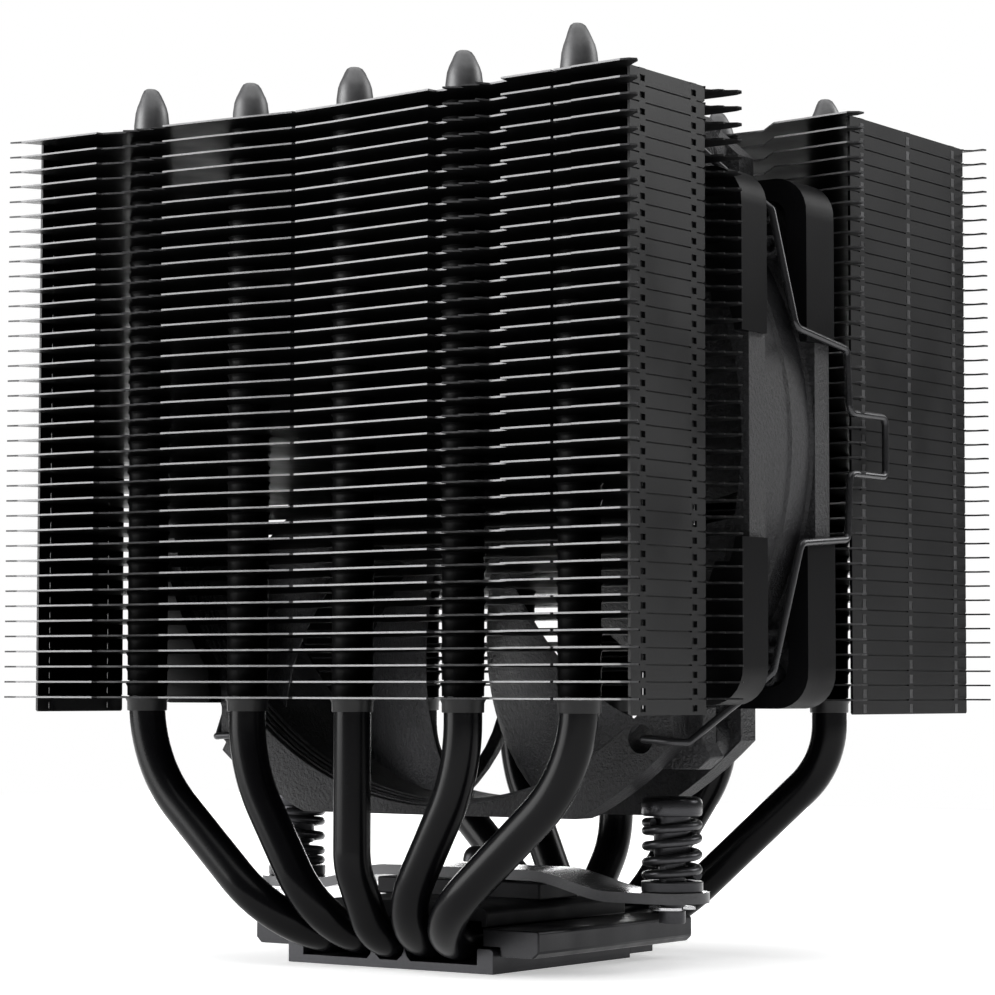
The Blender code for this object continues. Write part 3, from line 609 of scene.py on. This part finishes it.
v, f, m = crossbar()
piece("crossbar_body", v, f, [M_BAR_REFLECTION, M_BAR_EDGE], "root", "black_bar", ["crossbar"], bevel=0.25, segments=2, index=m)
cap = [(0, 18.6), (0.6, 18.55), (1.3, 18.3), (1.85, 17.8), (2.15, 17.2), (2.3, 16.4), (2.3, 16.0), (2.2, 15.95), (1.45, 15.95), (1.45, 13.35), (0, 13.35)]
piece("crossbar_screw_body", *lathe(cap, 32, (0, 1.0, 0)), M_SCREW, "root", "screw_steel", ["crossbar_screw"], smooth=40)


# ------------------------------------------------------------------ sprung screws

for side, sign in (("left", -1), ("right", 1)):
    at = (sign * 38.5, 1.0, 0.0)
    ridge = []
    profile = [(0, 25.6), (1.9, 25.6), (2.05, 27.1), (2.4, 27.45), (3.9, 27.5), (4.45, 27.35), (4.8, 26.95), (4.92, 26.4), (4.92, 25.0), (4.75, 24.6), (4.5, 24.45),
               (2.95, 24.45), (2.95, 18.4), (2.75, 18.1), (2.15, 17.9), (2.15, 10.15), (1.62, 10.1), (1.62, 9.4), (2.15, 9.35), (2.15, 7.6), (2.0, 7.4),
               (1.45, 7.4), (1.2, 7.7)]
    z = 8.0
    while z < 13.4:
        profile += [(1.3, z), (1.12, z + 0.2)]
        z += 0.4
    profile += [(1.2, 13.8), (0, 14.4)]
    v, f = lathe(profile, 40, at)
    # the head has a round socket with a flat bottom
    piece("screw_body_" + side, v, f, M_SCREW, "screw_" + side, "screw_steel", ["spring_screw_" + side], smooth=40)
    gap = math.radians(34)
    ring = [gap + (2 * math.pi - 2 * gap) * i / 28 for i in range(29)]
    outline = [(sign * 3.7 * math.cos(a) * (1 - 0.06 * math.cos(3 * a)), 3.7 * math.sin(a)) for a in ring]
    outline += [(sign * (1.85 if i % 7 else 1.7) * math.cos(a), (1.85 if i % 7 else 1.7) * math.sin(a)) for i, a in enumerate(ring[::-1])]
    v, f = prism([(x + at[0], y + at[1]) for x, y in outline], [], 9.55, 10.05)
    piece("e_clip_" + side, v, f, M_STEEL, "screw_carrier_" + side, "bright_steel", ["retaining_clip_" + side], bevel=0.08)
    v, f = lathe([(4.8, 14.1), (4.95, 13.95), (4.95, 12.6), (4.8, 12.45), (3.5, 12.45), (3.4, 12.6), (3.4, 13.95), (3.5, 14.1)], 48, at, closed=True)
    piece("washer_body_" + side, v, f, M_SCREW, "root", "screw_steel", ["thrust_washer_" + side], smooth=35)
    coil = []
    turns, total = 4.6, 260
    for i in range(total + 1):
        t = i / total
        # closed end turns, an even pitch between
        a = 2 * math.pi * turns * t
        lift = smooth01((t - 0.10) / 0.80) * 0.35 + 0.65 * min(1.0, max(0.0, (t - 0.10) / 0.80))
        zc = 14.95 + (t * 0.10 + 0.90 * lift) * 8.5
        coil.append((at[0] + sign * 4.15 * math.cos(a + 0.7), at[1] + 4.15 * math.sin(a + 0.7), zc))
    v, f = sweep(coil, 0.72, 14)
    spring = piece("coil_" + side, v, f, M_SPRING, "root", "spring_steel", ["screw_spring_" + side], smooth=50)
    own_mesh(spring)


# ------------------------------------------------------------------ fan frame

def flange_outline(half_x=60.0):
    """A quarter of the flange, from the flat at the bottom to its side, then mirrored."""
    quarter = [(10, -60), (20, -60), (27.6, -60)]
    for a in range(-64, -46, 3):
        quarter.append((66.2 * math.cos(math.radians(a)), 66.2 * math.sin(math.radians(a))))
    quarter += [(46.1, -47.6), (46.1, -42.4), (46.4, -41.7), (47.1, -41.4), (54.6, -41.4)]
    for a in range(-80, -9, 12):
        quarter.append((54.6 + 5.4 * math.cos(math.radians(a)), -36.0 + 5.4 * math.sin(math.radians(a))))
    quarter += [(60, -34.5)]
    right_side = quarter + [(x, -z) for x, z in quarter[::-1]]
    return right_side + [(-x, z) for x, z in right_side[::-1]]


HOLES = [(sx * 40.0, sz * 47.1) for sx in (-1, 1) for sz in (-1, 1)]
outline = flange_outline()
for name, radii, y0, y1 in (("front_flange", (58.6,), -12.5, -7.6), ("rear_flange", (57.75,), 7.9, 12.5)):
    holes = [circle(radii[0], 120)] + [circle(2.3, 24, x, z) for x, z in HOLES]
    v, f = prism(outline, holes, -y1, -y0)
    obj = piece("fan_" + name, to_y(v, FAN_AT), f, M_FRAME, "root", "frame_plastic", ["fan_frame"] if name == "front_flange" else (), bevel=0.45, segments=3)

# duct ring with stepped inlet, and a ridge round its middle
duct = [(58.55, -12.3), (58.5, -9.8), (58.1, -9.7), (58.1, -8.6), (57.85, -8.5), (57.85, -7.4), (57.6, -7.3), (57.6, 12.2), (58.3, 12.45), (58.8, 12.45),
        (59.9, 11.5), (59.9, 8.0), (59.3, 7.4), (59.3, 3.0), (59.7, 2.4), (59.7, 1.2), (59.3, 0.6), (59.3, -7.0), (59.9, -7.6), (59.9, -12.0), (59.4, -12.4)]
piece("fan_duct", *lathe(duct, 160, FAN_AT, "Y", closed=True), M_FRAME, "root", "frame_plastic", smooth=30)
lips = [lathe([(r + 0.22 * math.cos(math.radians(a)), y + 0.22 * math.sin(math.radians(a))) for a in range(0, 360, 45)], 140, FAN_AT, "Y", closed=True)
        for r, y in ((58.35, -11.3), (58.2, -10.2), (57.9, -9.0), (57.65, -7.9))]
piece("inlet_steps", *join(*lips), M_BLADE, "root", "frame_plastic", smooth=50)

# hollow bosses behind each mounting hole
groups = []
for sx, sz in HOLES:
    groups.append(lathe([(4.2, -7.8), (4.0, -4.4), (3.8, -4.2), (2.45, -4.2), (2.35, -4.4), (2.35, -7.8)], 32, (sx + FAN_AT[0], FAN_AT[1], sz + FAN_AT[2]), "Y", closed=True))
    groups.append(lathe([(4.2, 8.1), (4.0, 4.6), (3.8, 4.4), (2.45, 4.4), (2.35, 4.6), (2.35, 8.1)], 32, (sx + FAN_AT[0], FAN_AT[1], sz + FAN_AT[2]), "Y", closed=True))
piece("fan_bosses", *join(*groups), M_FRAME, "root", "frame_plastic", smooth=40)

groups = []
for sx in (-1, 1):
    for sz, tilt in ((-1, 0), (1, 0)):
        for x, z in ((52.6, 37.2), (53.4, 31.6)):
            groups.append(lathe([(0, 6.0), (0.8, 6.0), (0.9, 5.0), (1.5, 4.7), (1.9, 5.0), (1.95, 8.1), (0, 8.1)], 28, (sx * x, FAN_AT[1], sz * z + FAN_AT[2]), "Y"))
        lug = [(41.5, 42.0), (48.5, 42.0), (48.5, 47.5), (50.0, 50.0), (47.6, 51.9), (41.0, 51.9)]
        v, f = prism([(sx * a, sz * b) for a, b in lug], [], 3.6, 7.8)
        groups.append((to_y(v, FAN_AT), f))
piece("fan_pad_pegs", *join(*groups), M_FRAME, "root", "frame_plastic", bevel=0.25)

# motor seat and struts on the outlet side
seat = [(0, 10.9), (17.5, 10.9), (18.2, 10.6), (20.2, 10.6), (20.5, 10.9), (20.5, 12.0), (20.2, 12.3), (0, 12.3)]
piece("motor_seat_body", *lathe(seat, 96, FAN_AT, "Y"), M_FRAME, "root", "frame_plastic", smooth=35)
boss = [(4.6, 10.95), (4.6, -3.6), (4.4, -4.0), (3.6, -4.0), (3.45, -3.7), (3.45, 10.4), (3.6, 10.95)]
piece("bearing_boss_body", *lathe(boss, 40, FAN_AT, "Y", closed=True), M_FRAME, "root", "frame_plastic", smooth=35)
groups = []
for k in range(6):
    a0 = math.radians(60 * k + 18)
    line, n = [], 14
    for i in range(n + 1):
        t = i / n
        r = 19.6 + (58.3 - 19.6) * t
        a = a0 + 0.16 * math.sin(math.pi * t)
        line.append((r * math.cos(a), r * math.sin(a)))
    left, rightside = [], []
    for i, (x, y) in enumerate(line):
        (x0, y0), (x1, y1) = line[max(0, i - 1)], line[min(n, i + 1)]
        d = math.hypot(x1 - x0, y1 - y0)
        w = 1.25 - 0.25 * i / n
        left.append((x - (y1 - y0) / d * w, y + (x1 - x0) / d * w))
        rightside.append((x + (y1 - y0) / d * w, y - (x1 - x0) / d * w))
    v, f = prism(rightside + left[::-1], [], -12.1, -10.3)
    groups.append((to_y(v, FAN_AT), f))
piece("fan_struts", *join(*groups), M_FRAME, "root", "frame_plastic", bevel=0.3)

# soft corner pads: a ring round the corner of the flange with the soft face set into it
def pad_face(side):
    arc = [(58.9 * math.cos(math.radians(a)), 58.9 * math.sin(math.radians(a))) for a in np.linspace(19.5, 38.2, 12)]
    arc = [(min(x, side - 0.9), z) for x, z in arc]
    return arc + [(46.6, 40.9), (54.3, 41.0), (side - 3.2, 40.2), (side - 1.0, 38.4), (side - 0.2, 36.0), (side, 34.0), (side, 19.7)]


def pad_ring(top):
    outer = [(60.6, 15.9), (60.6, 35.6)]
    for a in range(10, 90, 13):
        outer.append((54.9 + 5.7 * math.cos(math.radians(a)), top - 5.7 + 5.7 * math.sin(math.radians(a))))
    outer += [(54.5, top), (46.2, top)]
    inner = [(46.2, 39.0), (53.6, 39.0)]
    for a in range(80, 0, -20):
        inner.append((53.9 + 2.9 * math.cos(math.radians(a)), 36.0 + 2.9 * math.sin(math.radians(a))))
    return outer + inner + [(57.0, 35.2), (57.0, 24.0), (59.0, 17.5), (59.3, 15.9)]


for face, y0, y1, s0, s1, wide, top in (("front", -13.6, -10.65, -13.7, -6.1, 60.1, 41.75), ("rear", 14.45, 17.0, 6.3, 15.1, 58.6, 42.4)):
    for level, sz in (("top", 1), ("bottom", -1)):
        for side, sx in (("left", -1), ("right", 1)):
            def flat(outline, low, high):
                v, f = prism([(sx * a, sz * b) for a, b in outline], [], -high, -low)
                return to_y(v, (0, 0, FAN_AT[2])), f
            title = "%s_%s_%s" % (face, level, side)
            piece("pad_body_" + title, *flat(pad_face(wide), y0, y1), M_PAD, "root", "pad_rubber", ["pad_" + title], bevel=0.2)
            piece("pad_ring_" + title, *flat(pad_ring(top), s0, s1), M_PAD, "root", "pad_rubber", bevel=0.6, segments=3)


# ------------------------------------------------------------------ impeller

hub = [(0, -11.4), (17.2, -11.4), (18.6, -11.25), (19.7, -10.8), (20.35, -9.9), (20.5, -8.8), (20.5, 8.2), (20.35, 8.3), (19.3, 8.3), (19.1, 8.1), (19.1, -9.7), (18.8, -9.9), (0, -9.9)]
piece("hub_body", *lathe(hub, 120, FAN_AT, "Y"), M_BLADE, "fan_rotor", "blade_plastic", ["impeller"], smooth=32)


def blades():
    """Nine swept blades with a thick leading edge, raised flow ribs on the suction side and a thin trailing edge."""
    verts, faces = [], []
    nr, nc = 22, 26
    for b in range(9):
        base = len(verts)
        for side in (1, -1):
            for j in range(nr + 1):
                t = j / nr
                r = 19.9 + (56.8 - 19.9) * t
                chord = math.radians(37 - 6 * t)
                lean = math.radians(13 * t * t)
                for i in range(nc + 1):
                    s = i / nc - 0.5
                    a = 2 * math.pi * b / 9 + lean + chord * s
                    y = -((15.0 - 4.5 * t) * s + 1.1 * math.cos(math.pi * s) * (1 - t))
                    edge = math.sqrt(max(0.0, 1 - (2 * abs(s)) ** 4))
                    thick = (0.62 - 0.12 * t) * (0.25 + 0.75 * edge) * (1.15 - 0.5 * (s + 0.5))
                    rib = 0.14 * max(0.0, math.sin(2 * math.pi * 9 * t)) * (1 if t > 0.25 and abs(s) < 0.42 else 0) if side > 0 else 0
                    verts.append((r * math.cos(a), FAN_AT[1] + y + side * (thick + rib), FAN_AT[2] + r * math.sin(a)))
        row = nc + 1
        layer = (nr + 1) * row
        for j in range(nr):
            for i in range(nc):
                q = [base + j * row + i, base + j * row + i + 1, base + (j + 1) * row + i + 1, base + (j + 1) * row + i]
                faces.append(tuple(q))
                faces.append(tuple(k + layer for k in q[::-1]))
        loop = [base + i for i in range(nc)] + [base + j * row + nc for j in range(nr)]
        loop += [base + nr * row + nc - i for i in range(nc)] + [base + (nr - j) * row for j in range(nr)]
        m = len(loop)
        for i in range(m):
            a, c = loop[i], loop[(i + 1) % m]
            faces.append((a, a + layer, c + layer, c))
    return verts, faces


piece("blades_body", *blades(), M_BLADE, "fan_rotor", "blade_plastic", smooth=40)


# ------------------------------------------------------------------ wire clips

ROUTE = [(40.5, -8.2, 36.9), (40.5, -11.5, 36.9), (46.4, -11.5, 36.5), (48.0, -9.2, 36.4), (52.2, -1.4, 42.6), (57.6, 0.6, 47.5), (61.0, 3.5, 67.7),
         (61.0, 18.6, 68.8), (61.4, 18.6, 79.5), (61.6, 30.3, 79.5), (61.6, 30.3, 89.3), (61.4, 18.6, 89.3), (61.0, 18.6, 99.6),
         (61.0, 2.2, 101.7), (57.6, 0.6, 120.5), (52.2, -1.4, 125.4), (48.0, -9.2, 131.6), (46.4, -11.5, 131.5), (40.5, -11.5, 131.1), (40.5, -8.2, 131.1)]
for side, sign in (("left", -1), ("right", 1)):
    path = rounded([(sign * x, y, z) for x, y, z in ROUTE], 1.3, 5)
    v, f = sweep(path, 0.6, 14)
    piece("clip_wire_" + side, v, f, M_WIRE, "clip_" + side, "bright_steel", ["fan_clip_" + side], smooth=50)


# ------------------------------------------------------------------ carried-over nodes inside the motor

for node, mat in (("rotor_cup", M_STEEL), ("rotor_magnet", M_MAGNET), ("rotor_shaft", M_STEEL), ("shaft_retainer", M_STEEL), ("bearing_sleeve", M_BRASS),
                  ("stator_stack", M_STEEL), ("stator_coils", M_COPPER), ("motor_circuit_board", M_BOARD)):
    obj = frame["nodes"][node]
    if not obj.material_slots:
        obj.data.materials.append(mat)
    for s in obj.material_slots:
        s.material = mat
